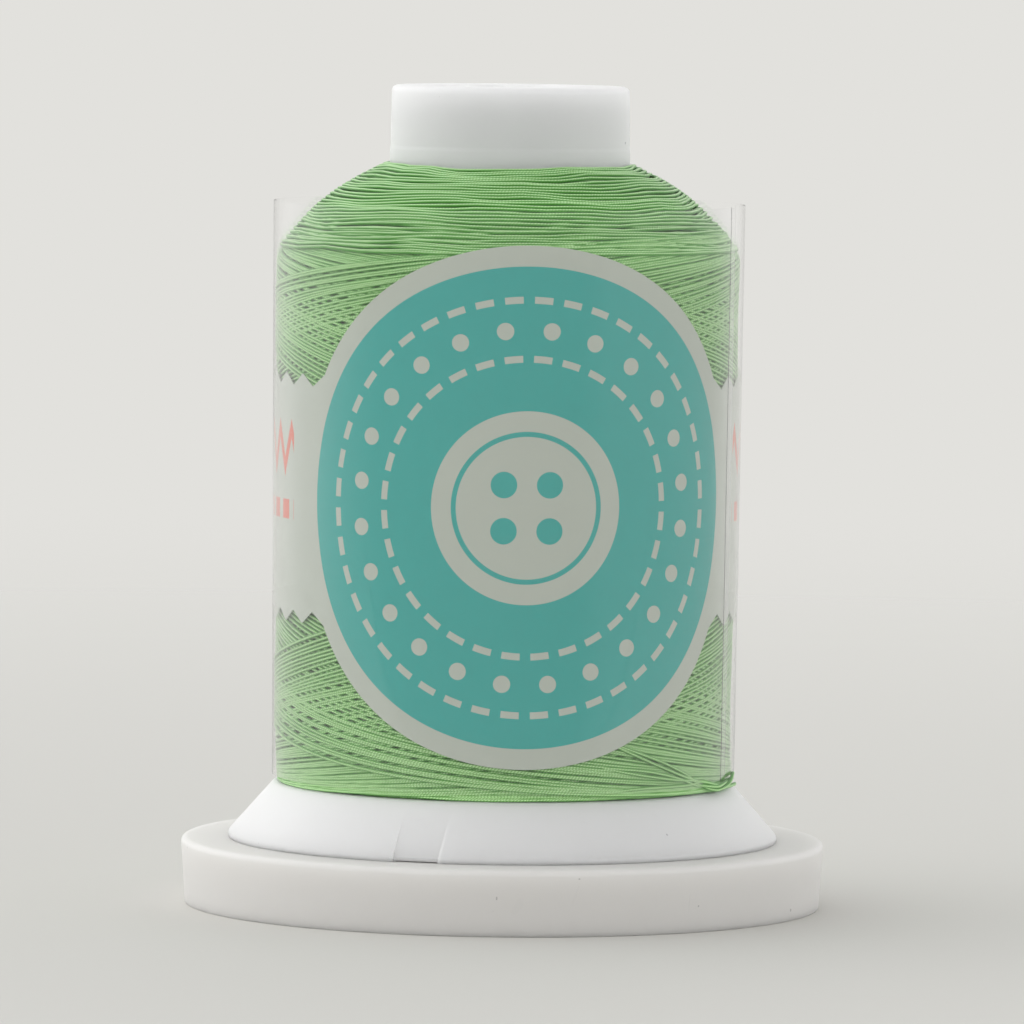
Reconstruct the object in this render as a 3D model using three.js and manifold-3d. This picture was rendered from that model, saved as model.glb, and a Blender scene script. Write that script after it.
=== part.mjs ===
// A snap spool of sewing thread in a clear film sleeve with a paper label.
// Millimetres, +Z up. The origin is on the surface the spool stands on, on the spool's axis.
//
// The base is a moulded disc whose hub reaches up inside the barrel and ends in spring fingers. The spool body slides
// a little way up on it, which opens a gap between foot and base for the end of the thread.

import * as THREE from 'three';
import { mergeVertices } from 'three/addons/utils/BufferGeometryUtils.js';
import Module from 'manifold-3d';

const wasm = await Module();
wasm.setup();

// ---- Driving dimensions ----

const SPOOL_HEIGHT = 72.5;
const BASE_RADIUS = 28.5;
const BASE_HEIGHT = 5.85;
const WALL = 1.5; // of both mouldings
const GAP = 0.3; // between pieces that rest on each other
const SNAP_TRAVEL = 2.5; // how far the body lifts off the base

const NECK_RADIUS = 10.5;
const BARREL_FOOT_RADIUS = 11.1;
const FOOT_RADIUS = 24.35;
const FOOT_TOP = 10.6;
const FOOT_TOP_RADIUS = 20.7;

const PIN_HOLE_RADIUS = 4.5; // at the top, for the pin of a sewing machine
const PIN_TUBE_BOTTOM = 27.2;
const HUB_RADIUS = 8.6;
const HUB_TOP = 26;
const BARB_HEIGHT = 2; // of the hooked ends of the hub's fingers
const COLLAR_TOP = HUB_TOP - BARB_HEIGHT - SNAP_TRAVEL - GAP; // inside the barrel, where the barbs stop it

const THREAD_RADIUS = 19.9;
const THREAD_TOP = 64.8;
const SHOULDER_HEIGHT = 58.3;
const STRAND = 1.7; // one turn of the drawn outer layer stands for a bundle of real threads
const TURNS = 24;
const SHOULDER_SLOPE = THREE.MathUtils.degToRad(40.7); // of the thread between barrel and neck, from level
const LOW_BEND = 2.2; // how far the rounding of the shoulder's lower corner reaches, and of its upper one
const HIGH_BEND = 1;
const STRAND_CLEARANCE = 0.45; // between the outer turns and what they lie on

const SLEEVE_BOTTOM = FOOT_TOP + GAP;
const SLEEVE_TOP = 62.7;
const SLEEVE_TOP_RADIUS = 20.85;
const SLEEVE_BOTTOM_RADIUS = 20.5;
const FILM = 0.22;

const LABEL_PAPER = 0.12;
const LABEL_GAP = 0.12; // between film and paper
const LABEL_CENTRE_HEIGHT = 36;
const LABEL_CENTRE_ANGLE = THREE.MathUtils.degToRad(-90 + 5); // the round face looks a little right of the front
const LABEL_FACE_RADIUS = 22.7; // of the flat paper
const LABEL_BAND_HEIGHT = 21.9;
const PINKING_DEPTH = 1.1;
const PINKING_COUNT = 27; // teeth from one side of the round face to the other

const CATCH_ANGLE = THREE.MathUtils.degToRad(-90 - 18);
const CATCH_WIDTH = 4.2;

const SEGMENTS = 64; // round every revolved piece

// ---- Materials ----

const moulded = { roughness: 0.38, metalness: 0 };
const bodyPlastic = new THREE.MeshStandardMaterial({ color: 0xdfe1de, ...moulded });
const basePlastic = new THREE.MeshStandardMaterial({ color: 0xdcdfe1, ...moulded });
const cotton = new THREE.MeshStandardMaterial({ color: 0x5f9a58, roughness: 0.85, metalness: 0 });
const film = new THREE.MeshStandardMaterial({
  color: 0xf4f6f4, roughness: 0.08, metalness: 0, transparent: true, opacity: 0.25,
});
const paper = new THREE.MeshStandardMaterial({ color: 0x2fa79b, roughness: 0.6, metalness: 0 });

// ---- Helpers ----

// A ring-shaped solid from an outline of radius and height, drawn anticlockwise with the radius to the right.
function revolve(outline, segments = SEGMENTS) {
  const points = outline.getPoints(3);
  points.push(points[0].clone());
  return new THREE.LatheGeometry(points, segments).rotateX(Math.PI / 2);
}

// An upright box that stands across a radius: it runs from one radius to another, at an angle round the axis.
function radialBox(from, to, width, bottom, top, angle) {
  return new THREE.BoxGeometry(to - from, width, top - bottom)
    .translate((from + to) / 2, 0, (bottom + top) / 2)
    .rotateZ(angle);
}

function toSolid(geometry) {
  const bare = geometry.clone();
  bare.deleteAttribute('normal');
  bare.deleteAttribute('uv');
  const merged = mergeVertices(bare, 1e-4);
  return new wasm.Manifold(new wasm.Mesh({
    numProp: 3,
    vertProperties: merged.attributes.position.array,
    triVerts: new Uint32Array(merged.index.array),
  }));
}

function toGeometry(solid) {
  const { vertProperties, triVerts } = solid.getMesh();
  return new THREE.BufferGeometry()
    .setAttribute('position', new THREE.BufferAttribute(vertProperties, 3))
    .setIndex(new THREE.BufferAttribute(triVerts, 1));
}

function addAll(geometry, extras) {
  return extras.reduce((solid, extra) => solid.add(toSolid(extra)), toSolid(geometry));
}

function cutAll(solid, cutters) {
  return cutters.reduce((left, cutter) => left.subtract(toSolid(cutter)), solid);
}

// Evenly spaced angles round the axis.
function spread(count, start = 0) {
  return Array.from({ length: count }, (_, i) => start + (2 * Math.PI * i) / count);
}

// A closed solid from rings of points, each ring with the same number of points, with a fan over either end.
function loft(rings) {
  const sides = rings[0].length;
  const positions = rings.flat().flatMap((p) => [p.x, p.y, p.z]);
  const index = [];
  for (let i = 0; i < rings.length - 1; i++) {
    for (let j = 0; j < sides; j++) {
      const a = i * sides + j;
      const b = i * sides + ((j + 1) % sides);
      index.push(a, b, b + sides, a, b + sides, a + sides);
    }
  }
  const last = (rings.length - 1) * sides;
  for (let j = 1; j < sides - 1; j++) {
    index.push(0, j + 1, j);
    index.push(last, last + j, last + j + 1);
  }
  return new THREE.BufferGeometry()
    .setAttribute('position', new THREE.Float32BufferAttribute(positions, 3))
    .setIndex(index);
}

// ---- Base ----

function snapBase() {
  const edge = 0.85; // round edge of the deck
  const heel = 0.6; // round edge that meets the table
  const hubWall = 1.3;
  const skirtInside = BASE_RADIUS - WALL;
  const deckUnderside = BASE_HEIGHT - 2;
  const hubBottom = 0.8;
  const barb = HUB_RADIUS + 0.5;
  const ringInside = 20.2; // low ring that seats inside the foot
  const ringTop = BASE_HEIGHT + 1.15;

  const outline = new THREE.Path();
  outline.moveTo(HUB_RADIUS - hubWall, hubBottom);
  outline.lineTo(HUB_RADIUS + 0.4, hubBottom);
  outline.lineTo(HUB_RADIUS + 0.6, deckUnderside);
  outline.lineTo(skirtInside - 0.2, deckUnderside);
  outline.lineTo(skirtInside, 0);
  outline.lineTo(BASE_RADIUS - heel - 0.1, 0);
  outline.quadraticCurveTo(BASE_RADIUS - 0.1, 0, BASE_RADIUS - 0.08, heel);
  outline.lineTo(BASE_RADIUS, BASE_HEIGHT - edge);
  outline.absarc(BASE_RADIUS - edge, BASE_HEIGHT - edge, edge, 0, Math.PI / 2);
  outline.lineTo(ringInside + 0.9, BASE_HEIGHT);
  outline.lineTo(ringInside + 0.8, ringTop);
  outline.lineTo(ringInside, ringTop);
  outline.lineTo(ringInside - 0.1, BASE_HEIGHT);
  outline.lineTo(HUB_RADIUS + 0.5, BASE_HEIGHT);
  outline.lineTo(HUB_RADIUS, BASE_HEIGHT + 0.5);
  outline.lineTo(HUB_RADIUS, HUB_TOP - BARB_HEIGHT);
  outline.lineTo(barb, HUB_TOP - BARB_HEIGHT + 0.2);
  outline.lineTo(barb, HUB_TOP - 1.1);
  outline.lineTo(HUB_RADIUS - 0.3, HUB_TOP);
  outline.lineTo(HUB_RADIUS - hubWall, HUB_TOP);

  const ribs = spread(8, Math.PI / 8).map((angle) =>
    radialBox(HUB_RADIUS, skirtInside + 0.5, 1.2, hubBottom, deckUnderside + 0.5, angle));
  const slitWidth = 1.6;
  const slits = spread(4, Math.PI / 4).map((angle) =>
    radialBox(HUB_RADIUS - 2 * hubWall, barb + 1, slitWidth, BASE_HEIGHT + 4, HUB_TOP + 1, angle));
  return toGeometry(cutAll(addAll(revolve(outline), ribs), slits));
}

// ---- Spool body ----

function barrelRadius(height) {
  const rise = (height - FOOT_TOP) / (SPOOL_HEIGHT - FOOT_TOP);
  return THREE.MathUtils.lerp(BARREL_FOOT_RADIUS, NECK_RADIUS, rise);
}

function spoolBody() {
  const rim = 0.6; // round edge of the neck
  const lip = BASE_HEIGHT + GAP; // bottom of the foot
  const bead = 66.4; // a low step round the neck, just over the thread
  const deck = 1.8; // thickness of the top of the neck
  const barrelInside = NECK_RADIUS - WALL + 0.15;
  const tubeWall = 1.2;
  const footUnderside = FOOT_TOP - WALL;
  const collarInside = HUB_RADIUS + GAP;

  const outline = new THREE.Path();
  outline.moveTo(FOOT_RADIUS - 1.4, lip);
  outline.lineTo(FOOT_RADIUS, lip);
  outline.lineTo(FOOT_RADIUS, lip + 0.4);
  outline.quadraticCurveTo(FOOT_RADIUS, lip + 0.95, FOOT_RADIUS - 0.75, FOOT_TOP - 2.85);
  outline.lineTo(FOOT_TOP_RADIUS + 0.25, FOOT_TOP - 0.25);
  outline.lineTo(FOOT_TOP_RADIUS - 0.1, FOOT_TOP);
  outline.lineTo(BARREL_FOOT_RADIUS + 0.4, FOOT_TOP);
  outline.lineTo(BARREL_FOOT_RADIUS, FOOT_TOP + 0.4);
  outline.lineTo(barrelRadius(bead) + 0.12, bead);
  outline.lineTo(barrelRadius(bead), bead + 0.15);
  outline.lineTo(NECK_RADIUS, SPOOL_HEIGHT - rim);
  outline.absarc(NECK_RADIUS - rim, SPOOL_HEIGHT - rim, rim, 0, Math.PI / 2);
  outline.lineTo(PIN_HOLE_RADIUS + 0.4, SPOOL_HEIGHT);
  outline.lineTo(PIN_HOLE_RADIUS, SPOOL_HEIGHT - 0.4);
  outline.lineTo(PIN_HOLE_RADIUS + 0.15, PIN_TUBE_BOTTOM + 1);
  outline.lineTo(PIN_HOLE_RADIUS + 0.7, PIN_TUBE_BOTTOM);
  outline.lineTo(PIN_HOLE_RADIUS + tubeWall + 0.15, PIN_TUBE_BOTTOM);
  outline.lineTo(PIN_HOLE_RADIUS + tubeWall, SPOOL_HEIGHT - deck);
  outline.lineTo(barrelInside, SPOOL_HEIGHT - deck);
  outline.lineTo(barrelInside + 0.2, COLLAR_TOP + 0.4);
  outline.lineTo(collarInside, COLLAR_TOP);
  outline.lineTo(collarInside, COLLAR_TOP - 0.6);
  outline.lineTo(barrelInside + 0.25, COLLAR_TOP - 1.1);
  outline.lineTo(barrelInside + 0.3, footUnderside);
  outline.lineTo(FOOT_TOP_RADIUS - 0.7, footUnderside);
  outline.lineTo(FOOT_RADIUS - 1.6, lip + 0.3);

  const ribs = spread(4).map((angle) =>
    radialBox(PIN_HOLE_RADIUS + 0.8, barrelInside + 0.5, 1.1, PIN_TUBE_BOTTOM + 5, SPOOL_HEIGHT - 1, angle));

  // The thread catch: a flat on the rim of the foot, and a slot under it that the thread slips into.
  const flat = FOOT_RADIUS - 0.45;
  const catches = [
    radialBox(flat, FOOT_RADIUS + 2, CATCH_WIDTH, lip - 1, FOOT_TOP - 1.9, CATCH_ANGLE),
    radialBox(FOOT_RADIUS - 3, FOOT_RADIUS + 2, CATCH_WIDTH - 0.4, lip - 1, lip + 0.25, CATCH_ANGLE),
  ];
  return toGeometry(cutAll(addAll(revolve(outline), ribs), catches));
}

// ---- Thread ----

// The line that the middle of the outer strand follows from the foot to the neck, as radius and height: up the
// barrel, in over the shoulder, and up beside the neck. Both corners are rounded.
function windingLine() {
  const half = STRAND / 2;
  const outer = THREAD_RADIUS - half;
  const inner = topTurnRadius();
  const lowCorner = SHOULDER_HEIGHT - half;
  const highCorner = lowCorner + (outer - inner) * Math.tan(SHOULDER_SLOPE);
  const uphill = new THREE.Vector2(-Math.cos(SHOULDER_SLOPE), Math.sin(SHOULDER_SLOPE));
  const low = new THREE.Vector2(outer, lowCorner);
  const high = new THREE.Vector2(inner, highCorner);
  const start = new THREE.Vector2(outer, FOOT_TOP + STRAND_CLEARANCE + half);
  const belowLow = new THREE.Vector2(outer, lowCorner - LOW_BEND);
  const afterLow = low.clone().addScaledVector(uphill, LOW_BEND);
  const beforeHigh = high.clone().addScaledVector(uphill, -HIGH_BEND);
  const end = new THREE.Vector2(inner, THREAD_TOP - half);

  const line = new THREE.CurvePath();
  line.add(new THREE.LineCurve(start, belowLow));
  line.add(new THREE.QuadraticBezierCurve(belowLow, low, afterLow));
  line.add(new THREE.LineCurve(afterLow, beforeHigh));
  line.add(new THREE.QuadraticBezierCurve(beforeHigh, high, end));
  return line;
}

const TUCK_BEND = 1.1; // radius of the bend where an end of the strand turns in

// Radius of the last turn, from which the end still reaches the neck straight for one strand's width.
function topTurnRadius() {
  const endRadius = barrelRadius(THREAD_TOP) + GAP;
  return Math.hypot(endRadius + STRAND + 0.05, TUCK_BEND) + TUCK_BEND;
}

// An end of the strand, at one height: straight in along a radius, to or from a turn of the winding.
// angle is where the end leaves the turn, and side is -1 before the winding and 1 after it.
function tuckedEnd(turnRadius, height, angle, innerRadius, side) {
  const centreRadius = turnRadius - TUCK_BEND;
  const sweep = Math.PI / 2 + Math.asin(TUCK_BEND / centreRadius);
  const centre = new THREE.Vector2(centreRadius * Math.cos(angle), centreRadius * Math.sin(angle));
  const points = [];
  const steps = 5;
  for (let i = 1; i <= steps; i++) {
    const turn = angle + side * sweep * (i / steps);
    points.push(new THREE.Vector3(
      centre.x + TUCK_BEND * Math.cos(turn), centre.y + TUCK_BEND * Math.sin(turn), height));
  }
  const radial = angle + side * (sweep - Math.PI / 2);
  points.push(new THREE.Vector3(innerRadius * Math.cos(radial), innerRadius * Math.sin(radial), height));
  return points;
}

const CORE_FOOT_RADIUS = 15.4; // the core is drawn in at its foot, where the strand's end goes in under the turns
const TURN_STEPS = 24;

function windingPath() {
  const line = windingLine();
  const turns = [];
  const steps = TURNS * TURN_STEPS;
  const startAngle = Math.PI / 3;
  for (let i = 0; i <= steps; i++) {
    const at = line.getPointAt(i / steps);
    const angle = startAngle + (2 * Math.PI * i) / TURN_STEPS;
    turns.push(new THREE.Vector3(at.x * Math.cos(angle), at.x * Math.sin(angle), at.y));
  }
  const first = line.getPointAt(0);
  const last = line.getPointAt(1);
  const endAngle = startAngle + 2 * Math.PI * TURNS;
  const lead = tuckedEnd(first.x, first.y, startAngle, CORE_FOOT_RADIUS + GAP, -1).reverse();
  const tail = tuckedEnd(last.x, last.y, endAngle, barrelRadius(last.y) + GAP, 1);
  return [...lead, ...turns, ...tail];
}

// The least space between two stretches of the strand that are at least half a turn apart along it.
function leastGap(path) {
  let least = Infinity;
  const apart = TURN_STEPS / 2;
  const segment = new THREE.Line3();
  const nearest = new THREE.Vector3();
  path.forEach((point, i) => {
    for (let j = i + apart; j < path.length - 1; j++) {
      segment.set(path[j], path[j + 1]).closestPointToPoint(point, true, nearest);
      least = Math.min(least, nearest.distanceTo(point));
    }
  });
  return least - STRAND;
}

function threadTurns() {
  const path = windingPath();
  console.log('least gap between turns: ' + leastGap(path).toFixed(2) + ' mm');
  const up = new THREE.Vector3(0, 0, 1);
  const sides = 6;
  const rings = path.map((point, i) => {
    const before = path[Math.max(i - 1, 0)];
    const after = path[Math.min(i + 1, path.length - 1)];
    const along = after.clone().sub(before).normalize();
    const across = along.clone().cross(up).normalize();
    const over = across.clone().cross(along);
    return Array.from({ length: sides }, (_, j) => {
      const turn = (-2 * Math.PI * j) / sides;
      return point.clone()
        .addScaledVector(across, (STRAND / 2) * Math.cos(turn))
        .addScaledVector(over, (STRAND / 2) * Math.sin(turn));
    });
  });
  return loft(rings);
}

function threadPack() {
  const outside = THREAD_RADIUS - STRAND - STRAND_CLEARANCE - 0.1;
  const bottom = FOOT_TOP + GAP;
  const ledge = bottom + STRAND + STRAND_CLEARANCE + 0.15;
  const shoulder = SHOULDER_HEIGHT - STRAND / 2 - 1.2;
  const top = THREAD_TOP - STRAND - STRAND_CLEARANCE;
  const topRadius = topTurnRadius() - STRAND / 2 - STRAND_CLEARANCE;
  const insideBottom = barrelRadius(bottom) + GAP;

  const outline = new THREE.Path();
  outline.moveTo(insideBottom + 0.5, bottom);
  outline.lineTo(CORE_FOOT_RADIUS, bottom);
  outline.lineTo(CORE_FOOT_RADIUS, ledge);
  outline.lineTo(outside, ledge);
  outline.lineTo(outside, shoulder);
  outline.quadraticCurveTo(outside - 0.1, shoulder + 0.9, outside - 1.1, shoulder + 1.6);
  outline.lineTo(topRadius, top - 1);
  outline.lineTo(topRadius - 0.6, top);
  outline.lineTo(barrelRadius(top) + GAP + 0.1, top);
  outline.lineTo(insideBottom, bottom + 0.7);
  return revolve(outline);
}

// ---- Sleeve and label ----

function sleeveRadius(height) {
  const rise = (height - SLEEVE_BOTTOM) / (SLEEVE_TOP - SLEEVE_BOTTOM);
  return THREE.MathUtils.lerp(SLEEVE_BOTTOM_RADIUS, SLEEVE_TOP_RADIUS, rise);
}

function clearSleeve() {
  const outline = new THREE.Path();
  outline.moveTo(SLEEVE_BOTTOM_RADIUS - FILM, SLEEVE_BOTTOM);
  outline.lineTo(SLEEVE_BOTTOM_RADIUS, SLEEVE_BOTTOM);
  outline.lineTo(SLEEVE_TOP_RADIUS, SLEEVE_TOP);
  outline.lineTo(SLEEVE_TOP_RADIUS - FILM, SLEEVE_TOP);
  return revolve(outline, 72);
}

// Half the height of the paper at a distance along it from the middle of the round face. The band's edge zigzags
// between its full height and the depth of the pinking.
function labelHalfHeight(along, tooth) {
  const band = LABEL_BAND_HEIGHT / 2 - (tooth % 2 === 0 ? 0 : PINKING_DEPTH);
  const face = Math.sqrt(Math.max(LABEL_FACE_RADIUS ** 2 - along ** 2, 0));
  return Math.max(band, face);
}

function label() {
  const radius = sleeveRadius(LABEL_CENTRE_HEIGHT) - FILM - LABEL_GAP;
  const halfLength = Math.PI * radius;
  const band = LABEL_BAND_HEIGHT / 2;
  const faceEdge = Math.sqrt(LABEL_FACE_RADIUS ** 2 - band ** 2);
  const buttGap = 0.4; // where the two ends of the band meet at the back

  // Places along the paper: evenly by angle over the round face, and one for each peak and valley of the pinking.
  const columns = [];
  const faceSteps = 36;
  const faceTurn = Math.asin(faceEdge / LABEL_FACE_RADIUS);
  for (let i = 0; i <= faceSteps; i++) {
    const turn = faceTurn * (2 * (i / faceSteps) - 1);
    columns.push({ along: LABEL_FACE_RADIUS * Math.sin(turn), tooth: 0 });
  }
  const edges = PINKING_COUNT - 1;
  const step = (halfLength - buttGap / 2 - faceEdge) / edges;
  for (let i = 1; i <= edges; i++) {
    columns.push({ along: faceEdge + i * step, tooth: i });
    columns.unshift({ along: -faceEdge - i * step, tooth: i });
  }

  const rings = columns.map(({ along, tooth }) => {
    const angle = LABEL_CENTRE_ANGLE + along / radius;
    const half = labelHalfHeight(along, tooth);
    const place = (height, depth) => {
      const r = sleeveRadius(height) - FILM - LABEL_GAP - depth;
      return new THREE.Vector3(r * Math.cos(angle), r * Math.sin(angle), height);
    };
    const low = LABEL_CENTRE_HEIGHT - half;
    const high = LABEL_CENTRE_HEIGHT + half;
    return [place(low, 0), place(low, LABEL_PAPER), place(high, LABEL_PAPER), place(high, 0)];
  });
  return loft(rings);
}

// ---- The spool ----

function part(name, geometry, material) {
  const mesh = new THREE.Mesh(geometry, material);
  mesh.name = name;
  return mesh;
}

const spool = new THREE.Group();
spool.add(part('snap_base', snapBase(), basePlastic));

const body = new THREE.Group();
body.add(part('spool_body', spoolBody(), bodyPlastic));
body.add(part('thread_pack', threadPack(), cotton));
body.add(part('thread_turns', threadTurns(), cotton));
spool.add(body);

const wrap = new THREE.Group();
wrap.add(part('clear_sleeve', clearSleeve(), film));
wrap.add(part('label', label(), paper));
body.add(wrap);

export default spool;
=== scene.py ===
"""A snap spool of sewing thread in a clear film sleeve with a paper label.

Every size is in metres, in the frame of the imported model: +Z up, with the origin on the spool's axis, on the
surface that it stands on. The round face of the label looks towards -Y.
"""

import math
from types import SimpleNamespace

import bpy
from bpy.props import FloatProperty, FloatVectorProperty, IntProperty, PointerProperty
from mathutils import Matrix, Vector


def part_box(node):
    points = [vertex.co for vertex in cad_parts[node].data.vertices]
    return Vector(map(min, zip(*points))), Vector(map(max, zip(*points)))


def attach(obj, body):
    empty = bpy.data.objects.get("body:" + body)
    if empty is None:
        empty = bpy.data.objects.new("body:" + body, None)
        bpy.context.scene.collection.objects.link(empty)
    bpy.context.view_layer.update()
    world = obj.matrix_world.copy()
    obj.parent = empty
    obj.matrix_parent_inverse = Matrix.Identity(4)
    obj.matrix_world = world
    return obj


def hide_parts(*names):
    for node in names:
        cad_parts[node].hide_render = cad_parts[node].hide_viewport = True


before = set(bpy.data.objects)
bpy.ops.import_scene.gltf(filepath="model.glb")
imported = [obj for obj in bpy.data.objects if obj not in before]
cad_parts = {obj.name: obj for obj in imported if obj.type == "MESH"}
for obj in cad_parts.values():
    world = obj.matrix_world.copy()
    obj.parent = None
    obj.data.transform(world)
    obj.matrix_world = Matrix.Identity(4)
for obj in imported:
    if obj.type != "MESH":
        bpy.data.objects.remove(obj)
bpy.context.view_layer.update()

bl_info = {
    "name": "Thread Spool",
    "version": (1, 0, 0),
    "blender": (4, 5, 0),
    "location": "View3D > Sidebar > Thread Spool",
    "description": "Makes the mouldings, wound thread, film sleeve and paper label of a snap spool",
    "category": "Object",
}

MM = 0.001

# ---- Sizes taken from the frame ----

BASE_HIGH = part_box("snap_base")[1]
BODY_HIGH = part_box("spool_body")[1]
SLEEVE_LOW, SLEEVE_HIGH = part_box("clear_sleeve")
LABEL_LOW, LABEL_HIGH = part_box("label")

BASE_RADIUS = BASE_HIGH.x
HUB_TOP = BASE_HIGH.z
FOOT_RADIUS = BODY_HIGH.x
SPOOL_HEIGHT = BODY_HIGH.z
SLEEVE_RADIUS = SLEEVE_HIGH.x
LABEL_MIDDLE = (LABEL_LOW.z + LABEL_HIGH.z) / 2 + 0.45 * MM
LABEL_FACE = (LABEL_HIGH.z - LABEL_LOW.z) / 2  # radius of the flat paper's round face

# ---- Sizes of the mouldings ----

BASE_HEIGHT = 5.84 * MM
WALL = 1.5 * MM
NECK_RADIUS = 10.5 * MM
BARREL_FOOT_RADIUS = 11.1 * MM
FOOT_TOP = 10.85 * MM
FOOT_TOP_RADIUS = 20.3 * MM
CONE_BOTTOM = 6.25 * MM
PIN_HOLE_RADIUS = 4.5 * MM
PIN_TUBE_BOTTOM = 27.2 * MM
HUB_RADIUS = 8.6 * MM
COLLAR_TOP = 21.2 * MM
NECK_BEAD = 66.9 * MM
BASE_RIBS = 8
FINGERS = 4
TUBE_RIBS = 4
CATCH_ANGLE = math.radians(-90 - 18)
CATCH_WIDTH = 4.2 * MM
CATCH_DEPTH = 0.3 * MM
CATCH_TOP = 9.6 * MM

# ---- Sizes of the soft pieces ----

FILM_LOW = SLEEVE_LOW.z + 0.6 * MM
FILM_HIGH = SLEEVE_HIGH.z - 0.5 * MM
SLEEVE_TAPER = 0.35 * MM  # how much narrower the sleeve is at its foot
LABEL_TURN = math.radians(-90 + 5)
LABEL_BAND = 21.9 * MM
PINKING_DEPTH = 1.1 * MM
PINKING_COUNT = 27


def srgb(red, green, blue):
    """The linear colour of what a screen shows as these three numbers, each from 0 to 255."""
    shares = [value / 255 for value in (red, green, blue)]
    return tuple(s / 12.92 if s <= 0.04045 else ((s + 0.055) / 1.055) ** 2.4 for s in shares)


def opaque(colour, share=1.0):
    """A colour, or a share of it, with an alpha of 1, as a shader's socket takes it."""
    return (*(value * share for value in colour), 1.0)


# ---- Settings ----

COLOUR = {"subtype": "COLOR", "size": 3, "min": 0, "max": 1}
FINE_LENGTH = {"unit": "LENGTH", "precision": 5}


class StageSettings(bpy.types.PropertyGroup):
    backdrop_colour: FloatVectorProperty(
        name="Backdrop colour", description="Colour of the backdrop behind the floor",
        default=srgb(226, 225, 221), **COLOUR)
    floor_colour: FloatVectorProperty(
        name="Floor colour", description="Colour of the paper that the spool stands on",
        default=srgb(214, 213, 208), **COLOUR)
    overhead: FloatProperty(
        name="Overhead", description="Radiance of the ceiling", min=0, default=0.08)
    left_skylight: FloatProperty(
        name="Left skylight", description="Radiance that a skylight on the upper left adds",
        min=0, default=0.78)
    back_skylight: FloatProperty(
        name="Back skylight", description="Radiance that a skylight above the back adds",
        min=0, default=0.4)
    left_window: FloatProperty(
        name="Left window", description="Radiance of the room on the left", min=0, default=1.7)
    right_wall: FloatProperty(
        name="Right wall", description="Radiance of the room on the right", min=0, default=1.8)
    back_wall: FloatProperty(
        name="Back wall", description="Radiance of the room behind the spool", min=0, default=1.5)
    near_side: FloatProperty(
        name="Near side", description="Radiance of the room on the camera's side", min=0, default=1.5)


class MouldingSettings(bpy.types.PropertyGroup):
    body_colour: FloatVectorProperty(
        name="Body colour", description="Colour of the neck, barrel and foot",
        default=srgb(251, 252, 250), **COLOUR)
    base_colour: FloatVectorProperty(
        name="Base colour", description="Colour of the snap base",
        default=srgb(221, 219, 216), **COLOUR)
    segments: IntProperty(
        name="Segments", description="Flats round each moulded ring", min=24, max=512, default=192)


class ThreadSettings(bpy.types.PropertyGroup):
    colour: FloatVectorProperty(
        name="Colour", description="Colour of the dyed cotton",
        default=srgb(171, 225, 143), **COLOUR)
    strand: FloatProperty(
        name="Strand diameter", description="Thickness of the thread",
        min=0.1 * MM, default=0.32 * MM, **FINE_LENGTH)
    strokes: IntProperty(
        name="Double strokes", description="Times that the thread goes up and down the barrel to cover it",
        min=10, default=80)
    wraps: FloatProperty(
        name="Wraps per double stroke", description="Turns round the barrel as the thread goes up and down",
        min=1, default=4)
    build: FloatProperty(
        name="Build", description="How much one covering of the barrel adds to its radius",
        min=0, default=0.5 * MM, **FINE_LENGTH)


class SleeveSettings(bpy.types.PropertyGroup):
    film: FloatProperty(
        name="Film", description="Thickness of the film",
        min=0.02 * MM, default=0.05 * MM, **FINE_LENGTH)
    lap: FloatProperty(
        name="Lap", description="Width of the seam where the film overlaps itself", unit="LENGTH",
        default=1.1 * MM)
    seam_turn: FloatProperty(
        name="Seam angle", description="Where the seam is, from the front", subtype="ANGLE", unit="ROTATION",
        default=math.radians(72.3))


class LabelSettings(bpy.types.PropertyGroup):
    face_colour: FloatVectorProperty(
        name="Face colour", description="Colour printed on the round face",
        default=srgb(75, 184, 176), **COLOUR)
    paper_colour: FloatVectorProperty(
        name="Paper colour", description="Colour of the bare paper",
        default=srgb(203, 210, 199), **COLOUR)
    accent_colour: FloatVectorProperty(
        name="Accent colour", description="Colour of the stitches printed on the band",
        default=srgb(232, 120, 96), **COLOUR)
    face_radius: FloatProperty(
        name="Face radius", description="Radius of the printed face", unit="LENGTH", default=20.9 * MM)
    paper: FloatProperty(
        name="Paper", description="Thickness of the paper", default=0.07 * MM, **FINE_LENGTH)


# ---- Nodes ----

FIELD_METHODS = {
    "__add__": "ADD", "__sub__": "SUBTRACT", "__mul__": "MULTIPLY", "__truediv__": "DIVIDE",
    "sine": "SINE", "cosine": "COSINE", "arcsine": "ARCSINE", "absolute": "ABSOLUTE", "root": "SQRT",
    "power": "POWER", "fraction": "FRACT", "least": "MINIMUM", "most": "MAXIMUM",
    "swing": "PINGPONG",  # goes up to its argument and back down again, over and over
}
SWAPPED_METHODS = {
    "__radd__": "ADD", "__rsub__": "SUBTRACT", "__rmul__": "MULTIPLY", "__rtruediv__": "DIVIDE",
}


class Field:
    """A socket that does arithmetic. Each sign, and each method named above, adds a Math node."""

    def __init__(self, tree, socket):
        self.tree = tree
        self.socket = socket

    def ramp(self, low, high, start=0.0, end=1.0):
        """A field that goes smoothly from start to end as this one goes from low to high."""
        node = add_node(self.tree, "ShaderNodeMapRange", {0: self, 1: low, 2: high, 3: start, 4: end},
                        interpolation_type="SMOOTHSTEP")
        return Field(self.tree, node.outputs[0])

    def blend(self, first, second):
        """A field that is the first number where this one is 0 and the second where it is 1."""
        return self * second + (1 - self) * first

    def mix(self, first, second):
        """The first colour where this field is 0 and the second where it is 1."""
        node = add_node(self.tree, "ShaderNodeMix", data_type="RGBA")
        for value, place in ((self, 0), (first, 6), (second, 7)):
            feed(self.tree, value, node.inputs[place])
        return node.outputs[2]


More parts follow.
